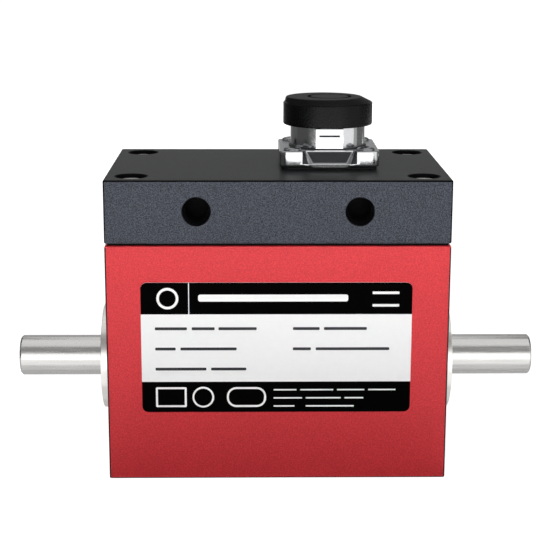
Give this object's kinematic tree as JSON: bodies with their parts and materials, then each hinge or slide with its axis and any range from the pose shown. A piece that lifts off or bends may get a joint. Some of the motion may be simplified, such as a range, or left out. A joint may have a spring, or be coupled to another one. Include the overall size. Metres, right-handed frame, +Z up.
{
  "type": "rotary torque sensor",
  "caption": "Block-shaped rotary torque sensor: a shaft through bearings in a two-part aluminium housing, slip rings and brushes inside, a capped round socket on top.",
  "frame": {"origin": "centre of the housing's flat base", "axes": "+X along the shaft, to the right of the label; -Y out of the labelled front; +Z up"},
  "size_m": [0.115, 0.0464, 0.0795],
  "materials": {
    "red_anodised": "bead-blasted, red anodised",
    "dark_anodised": "bead-blasted, dark anodised",
    "turned_aluminium": "turned, bare",
    "ground_steel": "cylindrically ground",
    "bearing_steel": "lapped",
    "stainless": "cold-formed stainless steel",
    "cage_brass": "pressed brass",
    "ring_brass": "turned and polished",
    "gilt_brass": "gold plated",
    "chrome_plate": "chrome-plated die casting",
    "insulating_plastic": "moulded",
    "matt_black": "fine spark-eroded grain",
    "black_rubber": "moulded",
    "carbon": "pressed carbon",
    "gauge_film": "polyimide film",
    "label_film": "printed polyester film"
  },
  "bodies": {
    "housing": {"lower_housing": "red_anodised", "top_housing": "dark_anodised", "lid_screw_1": "stainless", "lid_screw_2": "stainless", "lid_screw_3": "stainless", "lid_screw_4": "stainless", "left_bearing_outer_ring": "bearing_steel", "right_bearing_outer_ring": "bearing_steel", "left_bearing_cover": "turned_aluminium", "right_bearing_cover": "turned_aluminium", "brush_holder": "insulating_plastic", "holder_screw_1": "stainless", "holder_screw_2": "stainless", "brush_1": "carbon", "brush_2": "carbon", "brush_3": "carbon", "brush_4": "carbon", "connector_gasket": "black_rubber", "connector_shell": "chrome_plate", "connector_insert": "insulating_plastic", "connector_pin_1": "gilt_brass", "connector_pin_2": "gilt_brass", "connector_pin_3": "gilt_brass", "connector_pin_4": "gilt_brass", "connector_pin_5": "gilt_brass", "flange_screw_1": "stainless", "flange_screw_2": "stainless", "flange_screw_3": "stainless", "flange_screw_4": "stainless", "rating_label": "label_film"},
    "shaft": {"torque_shaft": "ground_steel", "left_bearing_inner_ring": "bearing_steel", "right_bearing_inner_ring": "bearing_steel", "slip_ring_sleeve": "insulating_plastic", "slip_ring_1": "ring_brass", "slip_ring_2": "ring_brass", "slip_ring_3": "ring_brass", "slip_ring_4": "ring_brass", "strain_gauge_front": "gauge_film", "strain_gauge_back": "gauge_film"},
    "left_cage": {"left_bearing_cage": "cage_brass", "left_bearing_ball_1": "bearing_steel", "left_bearing_ball_2": "bearing_steel", "left_bearing_ball_3": "bearing_steel", "left_bearing_ball_4": "bearing_steel", "left_bearing_ball_5": "bearing_steel", "left_bearing_ball_6": "bearing_steel", "left_bearing_ball_7": "bearing_steel"},
    "right_cage": {"right_bearing_cage": "cage_brass", "right_bearing_ball_1": "bearing_steel", "right_bearing_ball_2": "bearing_steel", "right_bearing_ball_3": "bearing_steel", "right_bearing_ball_4": "bearing_steel", "right_bearing_ball_5": "bearing_steel", "right_bearing_ball_6": "bearing_steel", "right_bearing_ball_7": "bearing_steel"},
    "cap": {"dust_cap": "matt_black", "cap_seal": "black_rubber"}
  },
  "joints": [
    {"name": "shaft_spin", "type": "hinge", "parent": "housing", "child": "shaft", "pos_m": [0, 0, 0.021], "axis": [1, 0, 0], "continuous": true},
    {"name": "left_cage_spin", "type": "hinge", "parent": "housing", "child": "left_cage", "pos_m": [-0.0314, 0, 0.021], "axis": [1, 0, 0], "continuous": true},
    {"name": "right_cage_spin", "type": "hinge", "parent": "housing", "child": "right_cage", "pos_m": [0.0314, 0, 0.021], "axis": [1, 0, 0], "continuous": true},
    {"name": "cap_lift", "type": "slide", "parent": "housing", "child": "cap", "axis": [0, 0, 1], "range_m": [0, 0.025]}
  ],
  "couplings": [
    {"joint": "left_cage_spin", "follows": "shaft_spin", "ratio": 0.39041},
    {"joint": "right_cage_spin", "follows": "shaft_spin", "ratio": 0.39041}
  ]
}
